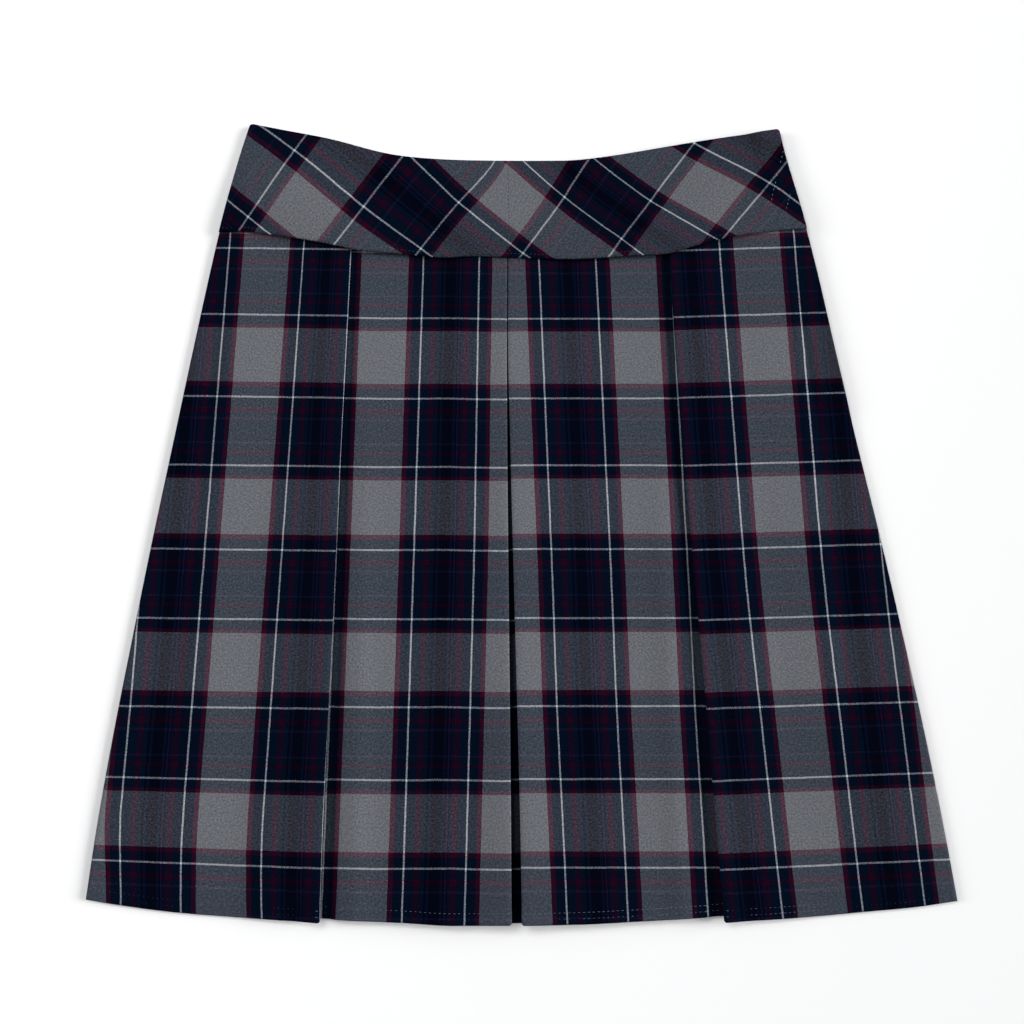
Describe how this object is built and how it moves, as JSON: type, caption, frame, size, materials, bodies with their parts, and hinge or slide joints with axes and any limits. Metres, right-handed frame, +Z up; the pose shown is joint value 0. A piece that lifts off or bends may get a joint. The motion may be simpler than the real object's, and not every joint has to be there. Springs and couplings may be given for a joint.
{
  "type": "skort",
  "caption": "Plaid school skort laid flat, with a bias-cut yoke, knife pleats at the sides, an inverted centre pleat, and shorts inside.",
  "frame": {"origin": "middle of the flat garment's bounding box, on the surface it lies on", "axes": "+X towards the wearer's left side, the right of the picture; +Y from the hem to the waist; +Z up, out of the front"},
  "size_m": [0.5438, 0.5268, 0.0102],
  "materials": {
    "plaid_twill": "woven plaid twill in navy, grey, maroon and white, matt",
    "shorts_twill": "plain navy twill, matt",
    "zip_tape": "navy woven zip tape and coil, matt",
    "zip_metal": "tumbled die-cast slider"
  },
  "bodies": {
    "root": {"back_skirt": "plaid_twill", "back_yoke": "plaid_twill", "shorts_back_left": "shorts_twill", "shorts_back_right": "shorts_twill", "shorts_front_left": "shorts_twill", "shorts_front_right": "shorts_twill", "centre_underlay": "plaid_twill", "front_side_left": "plaid_twill", "front_centre_left": "plaid_twill", "front_centre_right": "plaid_twill", "front_side_right": "plaid_twill", "side_zip": "zip_tape", "zip_slider": "zip_metal", "front_yoke": "plaid_twill"}
  },
  "joints": []
}
